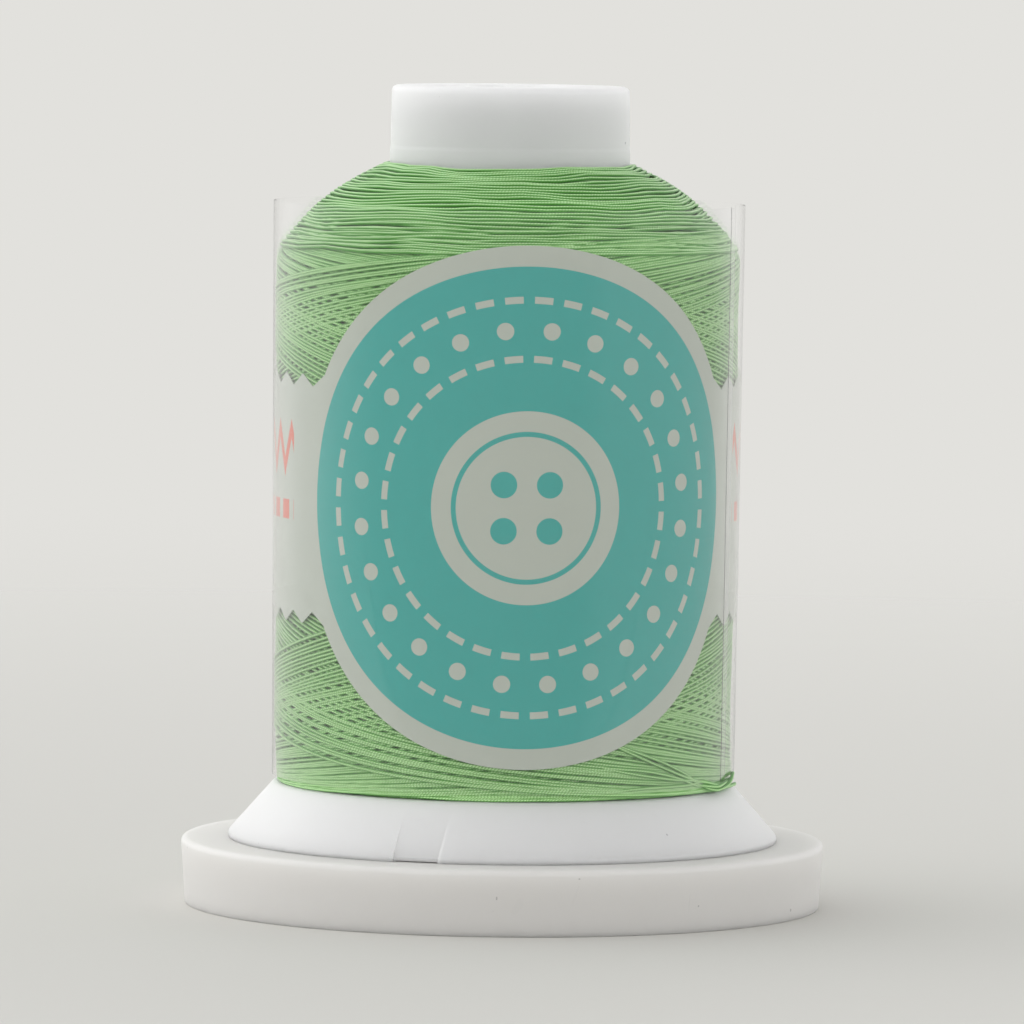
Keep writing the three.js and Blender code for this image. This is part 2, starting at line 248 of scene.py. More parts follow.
def add_method(name, operation, swapped):
    """Gives fields a method that makes one Math node of the field and the method's arguments."""
    def method(self, *others):
        return maths(self.tree, operation, *((*others, self) if swapped else (self, *others)))

    setattr(Field, name, method)


for field_method, math_operation in FIELD_METHODS.items():
    add_method(field_method, math_operation, False)
for field_method, math_operation in SWAPPED_METHODS.items():
    add_method(field_method, math_operation, True)


def feed(tree, value, socket):
    """Links a field, an output or a node's first output to a socket, or sets the socket to a plain value."""
    if isinstance(value, Field):
        value = value.socket
    if isinstance(value, bpy.types.Node):
        value = value.outputs[0]
    if isinstance(value, bpy.types.NodeSocket):
        tree.links.new(value, socket)
    else:
        socket.default_value = value


def maths(tree, operation, *values):
    node = tree.nodes.new("ShaderNodeMath")
    node.operation = operation
    for value, socket in zip(values, node.inputs):
        feed(tree, value, socket)
    return Field(tree, node.outputs[0])


def add_node(tree, kind, inputs=None, **settings):
    """Adds a node, sets what it is told, and feeds its inputs, which are given by name or place."""
    node = tree.nodes.new(kind)
    for name, value in settings.items():
        setattr(node, name, value)
    for name, value in (inputs or {}).items():
        feed(tree, value, node.inputs[name])
    return node


def noise(tree, place, scale, detail):
    """A noise texture as a field from 0 to 1, at a place in space or, where that is a field, along a line."""
    name, dimensions = ("W", "1D") if isinstance(place, Field) else ("Vector", "3D")
    node = add_node(tree, "ShaderNodeTexNoise", {name: place, "Scale": scale, "Detail": detail},
                    noise_dimensions=dimensions)
    return Field(tree, node.outputs[0])


def object_place(tree):
    return add_node(tree, "ShaderNodeTexCoord").outputs["Object"]


def attribute(tree, name, output="Fac"):
    return add_node(tree, "ShaderNodeAttribute", attribute_name=name).outputs[output]


def parts_of(tree, vector):
    """The three numbers of a vector, as fields."""
    node = add_node(tree, "ShaderNodeSeparateXYZ", {0: vector})
    return [Field(tree, socket) for socket in node.outputs]


def vector_of(tree, x=0.0, y=0.0, z=0.0):
    return add_node(tree, "ShaderNodeCombineXYZ", {0: x, 1: y, 2: z})


def index_of(tree):
    """The index of each point."""
    return Field(tree, add_node(tree, "GeometryNodeInputIndex").outputs[0])


def bump(tree, strength, distance, height):
    return add_node(tree, "ShaderNodeBump", {"Strength": strength, "Distance": distance, "Height": height})


INPUT_TYPES = {float: "NodeSocketFloat", int: "NodeSocketInt", type(None): "NodeSocketMaterial"}
OUTPUT_TYPES = {"ShaderNodeTree": "NodeSocketFloat", "GeometryNodeTree": "NodeSocketGeometry"}


def new_group(name, kind, inputs, outputs):
    """A node group, its inputs as fields, and its output node. The input Low Radius, for one, is the field
    low_radius. Each input has a default, or None where it takes a material."""
    tree = bpy.data.node_groups.new(name, kind)
    for label, default in inputs.items():
        socket = tree.interface.new_socket(label, in_out="INPUT", socket_type=INPUT_TYPES[type(default)])
        if default is not None:
            socket.default_value = default
    for label in outputs:
        tree.interface.new_socket(label, in_out="OUTPUT", socket_type=OUTPUT_TYPES[kind])
    entry = tree.nodes.new("NodeGroupInput")
    fields = {label.lower().replace(" ", "_"): Field(tree, entry.outputs[label]) for label in inputs}
    return tree, SimpleNamespace(**fields), tree.nodes.new("NodeGroupOutput")


# ---- Meshes ----


def add_object(name, data):
    added = bpy.data.objects.new(name, data)
    bpy.context.scene.collection.objects.link(added)
    return added


def around_axis(radius, angle, height):
    return (radius * math.cos(angle), radius * math.sin(angle), height)


def new_piece(name, vertices, faces, material):
    mesh = bpy.data.meshes.new(name)
    mesh.from_pydata(vertices, [], faces)
    mesh.materials.append(material)
    mesh.validate()
    return add_object(name, mesh)


def settle(piece):
    """Turns what a piece's modifiers make of it into its plain mesh."""
    bpy.context.view_layer.update()
    graph = bpy.context.evaluated_depsgraph_get()
    made = bpy.data.meshes.new_from_object(piece.evaluated_get(graph))
    piece.modifiers.clear()
    piece.data = made
    made.name = piece.name
    return piece


def smooth(piece, crease=math.radians(32)):
    """Shades a piece smooth apart from edges sharper than the crease."""
    piece.data.shade_smooth()
    piece.data.set_sharp_from_angle(angle=crease)
    return piece


def boolean(piece, tool, operation):
    """Cuts or joins a piece with a tool, which is removed."""
    modifier = piece.modifiers.new(operation.lower(), "BOOLEAN")
    modifier.operation = operation
    modifier.solver = "EXACT"
    modifier.object = tool
    settle(piece)
    bpy.data.objects.remove(tool)
    return piece


def rounded(corners, steps=5):
    """The points of a closed outline. Each corner is a radius, a height and, if it is round, how many
    millimetres back along both sides the rounding starts."""
    points = []
    for place, corner in enumerate(corners):
        here = Vector(corner[:2])
        if len(corner) == 2:
            points.append(here)
            continue
        before = Vector(corners[place - 1][:2])
        after = Vector(corners[(place + 1) % len(corners)][:2])
        start = here + (before - here).normalized() * (corner[2] * MM)
        end = here + (after - here).normalized() * (corner[2] * MM)
        for step in range(steps + 1):
            share = step / steps
            points.append(start * (1 - share) ** 2 + here * 2 * share * (1 - share) + end * share ** 2)
    return points


def revolve(name, outline, segments, material):
    """Turns a closed outline, drawn anticlockwise with the radius to the right, round the Z axis."""
    count = len(outline)
    vertices = []
    faces = []
    for turn in range(segments):
        angle = 2 * math.pi * turn / segments
        vertices += [around_axis(point.x, angle, point.y) for point in outline]
        here = turn * count
        there = (turn + 1) % segments * count
        for place in range(count):
            following = (place + 1) % count
            faces.append((here + place, there + place, there + following, here + following))
    return new_piece(name, vertices, faces, material)


def grow(name, tree, values):
    """A piece made by a tree of geometry nodes, whose inputs are set by name."""
    piece = add_object(name, bpy.data.meshes.new(name))
    modifier = piece.modifiers.new(name, "NODES")
    modifier.node_group = tree
    for item in tree.interface.items_tree:
        if item.in_out == "INPUT" and item.name in values:
            modifier[item.identifier] = values[item.name]
    return settle(piece)


# ---- Materials ----


def new_material(name):
    """A material, its tree with nothing in it but the output, and the output's surface socket."""
    material = bpy.data.materials.new(name)
    material.use_nodes = True
    tree = material.node_tree
    tree.nodes.clear()
    return material, tree, tree.nodes.new("ShaderNodeOutputMaterial").inputs[0]


def marks_group():
    """Fine unevenness of a moulded surface: soft clouds, a few scratches and specks."""
    name = "surface_marks"
    if name in bpy.data.node_groups:
        return bpy.data.node_groups[name]
    outputs = ("Clouds", "Scratches", "Specks", "Height")
    scales = {"Cloud Scale": 120.0, "Speck Scale": 1500.0}
    tree, inputs, leave = new_group(name, "ShaderNodeTree", scales, outputs)
    place = object_place(tree)
    clouds = noise(tree, place, inputs.cloud_scale, 3.0)
    stretched = add_node(tree, "ShaderNodeMapping", {
        "Vector": place, "Rotation": (0.3, 0.7, 0.4), "Scale": (1.0, 14.0, 1.0)})
    streaks = noise(tree, stretched, 330.0, 1.0)
    grains = noise(tree, place, inputs.speck_scale, 0.0)
    scratches = streaks.ramp(0.74, 0.78)
    specks = grains.ramp(0.87, 0.885)
    height = clouds * 0.5 - scratches * 0.5 - specks * 0.3
    for label, value in zip(outputs, (clouds, scratches, specks, height)):
        feed(tree, value, leave.inputs[label])
    return tree


def moulded_plastic(name, colour, depth):
    """Translucent white plastic with a satin skin, as it is moulded. Light goes in as far as depth."""
    material, tree, surface = new_material(name)
    marks = add_node(tree, "ShaderNodeGroup", node_tree=marks_group())
    clouds, scratches, specks, height = (Field(tree, socket) for socket in marks.outputs)
    dulled = opaque(colour, 0.93)
    clouded = (clouds * 0.3).mix(opaque(colour), dulled)
    scratched = (scratches * 0.3).mix(clouded, dulled)
    marked = (specks * 0.6).mix(scratched, opaque(colour, 0.4))
    shader = add_node(tree, "ShaderNodeBsdfPrincipled", {
        "Base Color": marked, "Roughness": clouds * 0.12 + 0.4, "IOR": 1.49,
        "Normal": bump(tree, 0.2, 0.05 * MM, height),
        "Subsurface Weight": 1.0, "Subsurface Radius": (1.0, 1.0, 1.0), "Subsurface Scale": depth})
    feed(tree, shader, surface)
    return material


def in_shade(colour, share):
    """A painted shade colour: the colour as it looks between strands, where light bounces off it more than
    once.
    """
    bounces = 2.5
    return opaque(tuple(value ** bounces for value in colour), share)


def cotton(name, colour):
    """Twisted cotton: three plies that wind round the strand. Its colour has painted light in it: a painted
    highlight along the strand's outside, brightest on the backs of the plies, and painted shade in the grooves
    between the plies and on the strand's sides. The attributes along and around give a point's place on its
    strand."""
    material, tree, surface = new_material(name)
    along = Field(tree, attribute(tree, "along"))
    around = Field(tree, attribute(tree, "around"))
    lay = 0.85 * MM  # length of the strand in which a ply goes round once
    plies = 3
    drift_rate = 40  # changes of shade in a metre of thread
    fuzz_rate = 3500
    wave = ((around + along / lay) * (plies * math.pi)).sine()
    ridge = wave * wave
    # painted shade in the grooves between the plies
    groove = (1 - ridge).power(1.5)
    aside = (around - 0.5).absolute()
    # painted highlight: the outside of each strand is made paler, where light falls on it
    painted_highlight_mask = aside.ramp(0.0, 0.1, 1.0, 0.0)
    beside = aside.ramp(0.03, 0.16)  # the sides, which the next strands shade
    drift = noise(tree, along * drift_rate, 1.0, 2.0)
    fuzz = noise(tree, along * fuzz_rate, 1.0, 1.0)
    dyed = drift.mix(opaque(colour, 0.85), opaque(colour))
    painted_highlight_colour = opaque(tuple(min(value * 1.25 + 0.16, 1) for value in colour))
    # the painted highlight is strongest on the backs of the plies
    with_painted_highlight = (painted_highlight_mask * (ridge * 0.6 + 0.4)).mix(dyed, painted_highlight_colour)
    # the grooves are darkened towards a painted shade colour
    groove_shaded = (groove * 0.45).mix(with_painted_highlight, in_shade(colour, 0.8))
    # painted shade on the strand's sides, where the next strands shade it
    shaded = (beside * 0.95).mix(groove_shaded, in_shade(colour, 0.7))
    shader = add_node(tree, "ShaderNodeBsdfPrincipled", {
        "Base Color": shaded, "Roughness": 0.42 + fuzz * 0.15, "Specular IOR Level": 0.7,
        "Sheen Weight": 0.4, "Sheen Roughness": 0.4,
        "Normal": bump(tree, 1.0, 0.03 * MM, ridge + fuzz * 0.3)})
    feed(tree, shader, surface)
    return material


def packed_cotton(name, colour):
    """The layers below the last one, which only show between the strands. Their dark green is painted shade.
    """
    material, tree, surface = new_material(name)
    place = object_place(tree)
    flat = add_node(tree, "ShaderNodeMapping", {"Vector": place, "Scale": (0.05, 0.05, 1.0)})
    turns = noise(tree, flat, 3200.0, 2.0)
    shader = add_node(tree, "ShaderNodeBsdfPrincipled", {
        # painted shade: the core takes the cotton's shade colours, not its own colour
        "Base Color": turns.mix(in_shade(colour, 1.0), in_shade(colour, 1.7)), "Roughness": 0.9,
        "Normal": bump(tree, 0.8, 0.1 * MM, turns)})
    feed(tree, shader, surface)
    return material


def clear_film():
    """Thin glossy film. Lamps shine straight through it."""
    material, tree, surface = new_material("clear_film")
    place = object_place(tree)
    waves = noise(tree, place, 60.0, 1.0)
    film = add_node(tree, "ShaderNodeBsdfPrincipled", {
        "Base Color": (1.0, 1.0, 1.0, 1.0), "Roughness": 0.015, "IOR": 1.5, "Transmission Weight": 1.0,
        "Normal": bump(tree, 0.15, 0.1 * MM, waves)})
    clear = add_node(tree, "ShaderNodeBsdfTransparent")
    ray = add_node(tree, "ShaderNodeLightPath").outputs["Is Shadow Ray"]
    feed(tree, add_node(tree, "ShaderNodeMixShader", {0: ray, 1: film, 2: clear}), surface)
    return material


def printed_paper(settings):
    """Coated paper. On the round face are two rings of stitches, a ring of beads and a button with four
    holes, all left bare in the ink, and on the band a zigzag above a row of dashes. The attribute paper_place
    is where a point lies on the flat paper, from the middle of the face."""
    material, tree, surface = new_material("printed_paper")
    place = attribute(tree, "paper_place", "Vector")
    x, y, _ = parts_of(tree, place)
    reach = (x * x + y * y).root()
    turn = maths(tree, "ARCTAN2", y, x) / (2 * math.pi)
    hair = 0.03 * MM  # width over which the edge of the ink fades

    def inside(distance, limit):
        return distance.ramp(limit - hair, limit + hair, 1.0, 0.0)

    def from_nearest(count, radius):
        """How far a point lies round the ring from the nearest of count places on it."""
        return ((turn * count).fraction() - 0.5).absolute() * (2 * math.pi * radius / count)

    def stitched_ring(count, radius):
        length, width = 1.6 * MM, 0.6 * MM
        beside = inside((reach - radius).absolute(), width / 2)
        return beside * inside(from_nearest(count, radius), length / 2)

    face = inside(reach, settings.face_radius)
    stitches = stitched_ring(44, 18 * MM).most(stitched_ring(32, 12.9 * MM))

    bead_ring, bead_radius, bead_count = 15.4 * MM, 0.75 * MM, 24
    bead_off = reach - bead_ring
    bead_side = from_nearest(bead_count, bead_ring)
    beads = inside((bead_off * bead_off + bead_side * bead_side).root(), bead_radius)

    hole_place, hole_radius = 2 * MM, 1.15 * MM
    hole_x = x.absolute() - hole_place
    hole_y = y.absolute() - hole_place
    holes = inside((hole_x * hole_x + hole_y * hole_y).root(), hole_radius)
    button_radius, groove_radius, groove_width = 8.4 * MM, 6.4 * MM, 0.44 * MM
    groove = inside((reach - groove_radius).absolute(), groove_width / 2)
    button = inside(reach, button_radius) * (1 - groove) * (1 - holes)
    bare_share = button.most(beads).most(stitches)

    side = x.absolute()
    on_band = side.ramp(24.9 * MM, 25.0 * MM)
    row_width = 1.7 * MM
    zigzag_low, zigzag_rise, zigzag_step = 2.6 * MM, 3.4 * MM, 1.5 * MM
    zigzag = zigzag_low + (side / zigzag_step).swing(1.0) * zigzag_rise
    zigzag_row = inside((y - zigzag).absolute(), row_width / 2)
    dash_low, dash_step, dash_share = 1.1 * MM, 2.6 * MM, 0.62
    dash_run = inside((side / dash_step).fraction() * MM, dash_share * MM)
    dash_row = inside((y + dash_low).absolute(), row_width / 2) * dash_run
    band_print = on_band * zigzag_row.most(dash_row)

    fibres = noise(tree, place, 900.0, 4.0)
    paper = (fibres * 0.5).mix(opaque(settings.paper_colour), opaque(settings.paper_colour, 0.93))
    ink = (fibres * 0.5).mix(opaque(settings.face_colour), opaque(settings.face_colour, 0.9))
    face_print = (face * (1 - bare_share)).mix(paper, ink)
    printed = band_print.mix(face_print, opaque(settings.accent_colour))
    shader = add_node(tree, "ShaderNodeBsdfPrincipled", {
        "Base Color": printed, "Roughness": 0.55 + fibres * 0.1, "Specular IOR Level": 0.4,
        "Normal": bump(tree, 0.15, 0.02 * MM, fibres)})
    feed(tree, shader, surface)
    return material


# ---- Stage ----

IMAGE = 1024  # side of the picture, in pixels
FOCAL_PIXELS = 9500
SENSOR = 36  # mm
CAMERA_PLACE = Vector((0, -0.83933, 0.089))
CAMERA_DIP = 0.0645  # radians below level
CAMERA_ROLL = 0.0116
CENTRE_SHIFT = 6.0  # pixels that the spool's axis lies left of the middle
FLOOR_WHOLE = 0.1  # how far from the axis the floor starts to fade into the backdrop
FLOOR_GONE = 0.55
FLOOR_END = 0.15  # how far in front of the axis it has gone
LEFT_SKY = Vector((-0.6, 0.05, 0.8)).normalized()
BACK_SKY = Vector((-0.15, 0.55, 0.8)).normalized()
EYE_LEVEL = (0.08, 0.8, 0.4)  # radiance near the camera, on the left and on the right

# Where one light of the room turns into the next, as two values of a direction's X, Y or Z
LEFT_OR_RIGHT = (-0.3, 0.3)
NEAR_OR_LEFT = (-0.5, 0.35)
NEAR_OR_RIGHT = (-0.85, -0.6)
SIDES_OR_BACK = (0.45, 0.95)
EYE_LEVEL_OR_ABOVE = (0.02, 0.14)
WALLS_OR_CEILING = (0.3, 0.8)
SKYLIGHT_EDGE = (0.55, 0.95)  # cosines of the angle from the skylight's middle


def make_camera():
    data = bpy.data.cameras.new("camera")
    data.sensor_width = SENSOR
    data.lens = SENSOR * FOCAL_PIXELS / IMAGE
    data.shift_x = CENTRE_SHIFT / IMAGE
    data.clip_start = 0.01
    data.clip_end = 20
    camera = add_object("camera", data)
    level_right = Vector((1, 0, 0))
    level_up = Vector((0, math.sin(CAMERA_DIP), math.cos(CAMERA_DIP)))
    ahead = Vector((0, math.cos(CAMERA_DIP), -math.sin(CAMERA_DIP)))
    right = level_right * math.cos(CAMERA_ROLL) + level_up * math.sin(CAMERA_ROLL)
    up = level_up * math.cos(CAMERA_ROLL) - level_right * math.sin(CAMERA_ROLL)
    turned = Matrix((right, up, -ahead)).transposed().to_4x4()
    camera.matrix_world = Matrix.Translation(CAMERA_PLACE) @ turned
    bpy.context.scene.camera = camera


def make_room(settings):
    """Soft light from all round and from two skylights. What is at eye level, which the film mirrors, is
    darker."""
    world = bpy.data.worlds.new("room")
    world.use_nodes = True
    tree = world.node_tree
    tree.nodes.clear()
    direction = add_node(tree, "ShaderNodeTexCoord").outputs["Generated"]
    across, ahead, upwards = parts_of(tree, direction)
    behind = ahead.ramp(*SIDES_OR_BACK)

    def round_about(near, left_side, right_side):
        """Light that changes from the camera's side round to the left and the right."""
        left = ahead.ramp(*NEAR_OR_LEFT, near, left_side)
        right = ahead.ramp(*NEAR_OR_RIGHT, near, right_side)
        return across.ramp(*LEFT_OR_RIGHT).blend(left, right)

    def skylight(way, strength):
        facing = add_node(tree, "ShaderNodeVectorMath", {0: direction, 1: way}, operation="DOT_PRODUCT")
        return Field(tree, facing.outputs["Value"]).ramp(*SKYLIGHT_EDGE, 0.0, strength)

    above = round_about(settings.near_side, settings.left_window, settings.right_wall)
    mirrored_room = round_about(*EYE_LEVEL)
    sides = upwards.ramp(*EYE_LEVEL_OR_ABOVE).blend(mirrored_room, above)
    walls = behind.blend(sides, settings.back_wall)
    strength = (upwards.ramp(*WALLS_OR_CEILING).blend(walls, settings.overhead)
                + skylight(LEFT_SKY, settings.left_skylight) + skylight(BACK_SKY, settings.back_skylight))
    light = add_node(tree, "ShaderNodeBackground", {0: (1.0, 1.0, 1.0, 1.0), 1: strength})
    seen = add_node(tree, "ShaderNodeBackground", {0: opaque(settings.backdrop_colour), 1: 1.0})
    rays = add_node(tree, "ShaderNodeLightPath").outputs
    straight, bent, mirrored = (
        Field(tree, rays["Is %s Ray" % kind]) for kind in ("Camera", "Transmission", "Glossy"))
    shown = straight.most(bent).most(mirrored * behind)
    mixed = add_node(tree, "ShaderNodeMixShader", {0: shown, 1: light, 2: seen})
    feed(tree, mixed, tree.nodes.new("ShaderNodeOutputWorld").inputs[0])
    bpy.context.scene.world = world


def make_floor(settings):
    """A round sheet of pale paper that fades into the backdrop, and ends soon on the camera's side."""
    material, tree, surface = new_material("floor_paper")
    place = object_place(tree)
    x, y, _ = parts_of(tree, place)
    distance = (x * x + y * y).root()
    grain = noise(tree, place, 900.0, 5.0)
    paper = add_node(tree, "ShaderNodeBsdfPrincipled", {
        "Base Color": opaque(settings.floor_colour), "Roughness": 0.8, "Specular IOR Level": 0.2,
        "Normal": bump(tree, 0.12, 0.1 * MM, grain)})
    clear = add_node(tree, "ShaderNodeBsdfTransparent")
    fade = distance.ramp(FLOOR_WHOLE, FLOOR_GONE).most((0 - y).ramp(FLOOR_WHOLE, FLOOR_END))
    feed(tree, add_node(tree, "ShaderNodeMixShader", {0: fade, 1: paper, 2: clear}), surface)
    sides = 96
    rim = [around_axis(FLOOR_GONE, 2 * math.pi * side / sides, 0) for side in range(sides)]
    floor = new_piece("floor", rim, [tuple(range(sides))], material)


class SPOOL_OT_stage(bpy.types.Operator):
    """Sets up the camera, the floor and the room that lights the spool"""

    bl_idname = "thread_spool.stage"
    bl_label = "Stage"

    def execute(self, context):
        settings = context.scene.spool_stage
        context.scene.view_settings.view_transform = "Standard"
        make_camera()
        make_room(settings)
        make_floor(settings)
        return {"FINISHED"}


# ---- Mouldings ----


def plates_tree():
    """Upright plates that stand across a radius, evenly spaced round the axis."""
    name = "radial_plates"
    if name in bpy.data.node_groups:
        return bpy.data.node_groups[name]
    tree, sizes, leave = new_group(name, "GeometryNodeTree", {
        "Count": 4, "Inner Radius": 0.01, "Outer Radius": 0.02, "Thickness": 0.001, "Bottom": 0.0,
        "Top": 0.01, "First Angle": 0.0, "Material": None}, ("Geometry",))
    inner, outer = sizes.inner_radius, sizes.outer_radius
    low, high = sizes.bottom, sizes.top
    extent = vector_of(tree, outer - inner, sizes.thickness, high - low)
    centre = vector_of(tree, (outer + inner) / 2, 0.0, (high + low) / 2)
    plate = add_node(tree, "GeometryNodeMeshCube", {"Size": extent})
    placed = add_node(tree, "GeometryNodeTransform", {"Geometry": plate, "Translation": centre})
    points = add_node(tree, "GeometryNodePoints", {"Count": sizes.count})
    turn = vector_of(tree, z=sizes.first_angle + index_of(tree) * (2 * math.pi) / sizes.count)
    rotation = add_node(tree, "FunctionNodeEulerToRotation", {0: turn})
    copies = add_node(tree, "GeometryNodeInstanceOnPoints", {
        "Points": points, "Instance": placed, "Rotation": rotation})
    return finish(tree, sizes, leave, copies)


def finish(tree, sizes, leave, geometry):
    """Makes instances real, gives the geometry the group's material and passes it on."""
    real = add_node(tree, "GeometryNodeRealizeInstances", {0: geometry})
    coloured = add_node(tree, "GeometryNodeSetMaterial", {"Geometry": real, "Material": sizes.material})
    feed(tree, coloured, leave.inputs[0])
    return tree


def plates(name, material, count, inner, outer, thickness, bottom, top, first_angle):
    return grow(name, plates_tree(), {
        "Count": count, "Inner Radius": inner, "Outer Radius": outer, "Thickness": thickness,
        "Bottom": bottom, "Top": top, "First Angle": first_angle, "Material": material})


class SPOOL_OT_base(bpy.types.Operator):
    """Makes the snap base: a disc with a skirt, and a hub that ends in four spring fingers"""

    bl_idname = "thread_spool.base"
    bl_label = "Snap base"

    def execute(self, context):
        settings = context.scene.spool_moulding
        material = moulded_plastic("base_plastic", settings.base_colour, depth=3 * MM)
        skirt = BASE_RADIUS - WALL
        under = BASE_HEIGHT - 2 * MM
        bottom = 0.8 * MM
        hub_inside = HUB_RADIUS - 1.3 * MM
        barb = HUB_RADIUS + 0.5 * MM
        ring = 20.2 * MM
        ring_top = BASE_HEIGHT + 1.15 * MM
        outline = rounded([
            (hub_inside, bottom, 0.2),
            (HUB_RADIUS + 0.4 * MM, bottom, 0.2),
            (HUB_RADIUS + 0.6 * MM, under, 0.4),
            (skirt - 0.2 * MM, under, 0.5),
            (skirt - 0.3 * MM, 0, 0.25),
            (BASE_RADIUS - 0.4 * MM, 0, 0.12),
            (BASE_RADIUS, BASE_HEIGHT, 0.6),
            (ring + 0.9 * MM, BASE_HEIGHT, 0.2),
            (ring + 0.8 * MM, ring_top, 0.2),
            (ring, ring_top, 0.2),
            (ring - 0.1 * MM, BASE_HEIGHT, 0.2),
            (HUB_RADIUS, BASE_HEIGHT, 0.5),
            (HUB_RADIUS, HUB_TOP - 2 * MM, 0.1),
            (barb, HUB_TOP - 1.8 * MM, 0.15),
            (barb, HUB_TOP - 1.1 * MM, 0.2),
            (HUB_RADIUS - 0.3 * MM, HUB_TOP, 0.2),
            (hub_inside, HUB_TOP, 0.2),
        ])
        piece = revolve("base_moulding", outline, settings.segments, material)
        ribs = plates("base_ribs", material, BASE_RIBS, HUB_RADIUS, skirt + 0.5 * MM, 1.2 * MM, bottom,
                      under + 0.5 * MM, math.pi / BASE_RIBS)
        boolean(piece, ribs, "UNION")
        slits = plates("finger_slits", material, FINGERS, hub_inside - 1.3 * MM, barb + MM, 1.6 * MM,
                       BASE_HEIGHT + 4 * MM, HUB_TOP + MM, math.pi / FINGERS)
        boolean(piece, slits, "DIFFERENCE")
        smooth(piece)
        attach(piece, "base")
        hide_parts("snap_base")
        return {"FINISHED"}


def barrel_radius(height):
    rise = (height - FOOT_TOP) / (SPOOL_HEIGHT - FOOT_TOP)
    return BARREL_FOOT_RADIUS + (NECK_RADIUS - BARREL_FOOT_RADIUS) * rise


class SPOOL_OT_body(bpy.types.Operator):
    """Makes the spool body: neck, tapering barrel, foot with its thread catch, and the pin tube inside"""

    bl_idname = "thread_spool.body"
    bl_label = "Spool body"

    def execute(self, context):
        settings = context.scene.spool_moulding
        material = moulded_plastic("body_plastic", settings.body_colour, depth=3.2 * MM)
        barrel_inside = NECK_RADIUS - WALL + 0.15 * MM
        deck = SPOOL_HEIGHT - 1.8 * MM
        collar = HUB_RADIUS + 0.3 * MM
        under = FOOT_TOP - WALL
        outline = rounded([
            (FOOT_RADIUS - 1.4 * MM, BASE_HEIGHT),
            (FOOT_RADIUS - 0.1 * MM, BASE_HEIGHT),
            (FOOT_RADIUS, CONE_BOTTOM, 0.3),
            (FOOT_TOP_RADIUS, FOOT_TOP, 0.3),
            (BARREL_FOOT_RADIUS + 0.4 * MM, FOOT_TOP, 0.2),
            (BARREL_FOOT_RADIUS, FOOT_TOP + 0.4 * MM, 0.2),
            (barrel_radius(NECK_BEAD) + 0.05 * MM, NECK_BEAD, 0.06),
            (barrel_radius(NECK_BEAD), NECK_BEAD + 0.3 * MM, 0.1),
            (NECK_RADIUS, SPOOL_HEIGHT, 0.6),
            (PIN_HOLE_RADIUS, SPOOL_HEIGHT, 0.5),
            (PIN_HOLE_RADIUS + 0.15 * MM, PIN_TUBE_BOTTOM, 0.6),
            (PIN_HOLE_RADIUS + 1.35 * MM, PIN_TUBE_BOTTOM, 0.3),
            (PIN_HOLE_RADIUS + 1.2 * MM, deck, 0.3),
            (barrel_inside, deck, 0.3),
            (barrel_inside + 0.2 * MM, COLLAR_TOP + 0.4 * MM, 0.1),
            (collar, COLLAR_TOP, 0.1),
            (collar, COLLAR_TOP - 0.6 * MM, 0.1),
            (barrel_inside + 0.25 * MM, COLLAR_TOP - 1.1 * MM, 0.1),
            (barrel_inside + 0.3 * MM, under, 0.3),
            (FOOT_TOP_RADIUS - 0.7 * MM, under, 0.3),
            (FOOT_RADIUS - 1.6 * MM, BASE_HEIGHT + 0.3 * MM),
        ])
        piece = revolve("body_moulding", outline, settings.segments, material)
        ribs = plates("tube_ribs", material, TUBE_RIBS, PIN_HOLE_RADIUS + 0.8 * MM,
                      barrel_inside + 0.5 * MM, 1.1 * MM, PIN_TUBE_BOTTOM + 5 * MM, deck + 0.8 * MM, 0)
        boolean(piece, ribs, "UNION")
        cone_share = (FOOT_TOP - CATCH_TOP) / (FOOT_TOP - CONE_BOTTOM)
        catch_top_radius = FOOT_TOP_RADIUS + (FOOT_RADIUS - FOOT_TOP_RADIUS) * cone_share
        hollow = revolve("catch_hollow", rounded([
            (FOOT_RADIUS - CATCH_DEPTH, BASE_HEIGHT - MM),
            (FOOT_RADIUS + MM, BASE_HEIGHT - MM),
            (FOOT_RADIUS + MM, CATCH_TOP),
            (catch_top_radius, CATCH_TOP),
            (FOOT_RADIUS - CATCH_DEPTH, CONE_BOTTOM),
        ]), settings.segments, material)
        width = plates("catch_width", material, 1, FOOT_RADIUS - 5 * MM, FOOT_RADIUS + 2 * MM, CATCH_WIDTH,
                       BASE_HEIGHT - 2 * MM, CATCH_TOP + MM, CATCH_ANGLE)
        boolean(hollow, width, "INTERSECT")
        boolean(piece, hollow, "DIFFERENCE")
        slot = plates("catch_slot", material, 1, FOOT_RADIUS - 3 * MM, FOOT_RADIUS + 2 * MM,
                      CATCH_WIDTH - 0.4 * MM, BASE_HEIGHT - MM, BASE_HEIGHT + 0.1 * MM, CATCH_ANGLE)
        boolean(piece, slot, "DIFFERENCE")
        smooth(piece)
        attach(piece, "spool")
        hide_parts("spool_body")
        return {"FINISHED"}


# ---- Thread ----

STRAND_SIDES = 8
SEAM_INWARDS = math.pi * (1 / STRAND_SIDES - 1)  # turns the face where around starts again towards the axis
STEPS_PER_TURN = 60
CORE_SEGMENTS = 192
STROKE_LOW = 11.35 * MM  # lowest and highest place of the thread on the barrel
STROKE_HIGH = 59.4 * MM
TURNBACK = 0.2  # how much the thread keeps its slope until it turns back, up to 1
ROUNDED_BELOW = 2.4 * MM  # the winding rounds off from here below the highest place
ROUNDED_ABOVE = 0.6 * MM  # to here above it
ROUNDED_DEPTH = 1.4 * MM  # and goes in by so much
UNDER_FILM = 0.31 * MM  # from the outside of the film in to the middle of the last strand
SHOULDER_LOW = Vector((20.3, 58.5)) * MM  # radius and height of the slope's two ends
SHOULDER_HIGH = Vector((10.95, 65.55)) * MM
SHOULDER_LEAN = math.radians(-50)


def sleeve_radius(height):
    """The outer radius of the film at a height."""
    rise = (height - FILM_LOW) / (FILM_HIGH - FILM_LOW)
    return SLEEVE_RADIUS - SLEEVE_TAPER * (1 - rise)


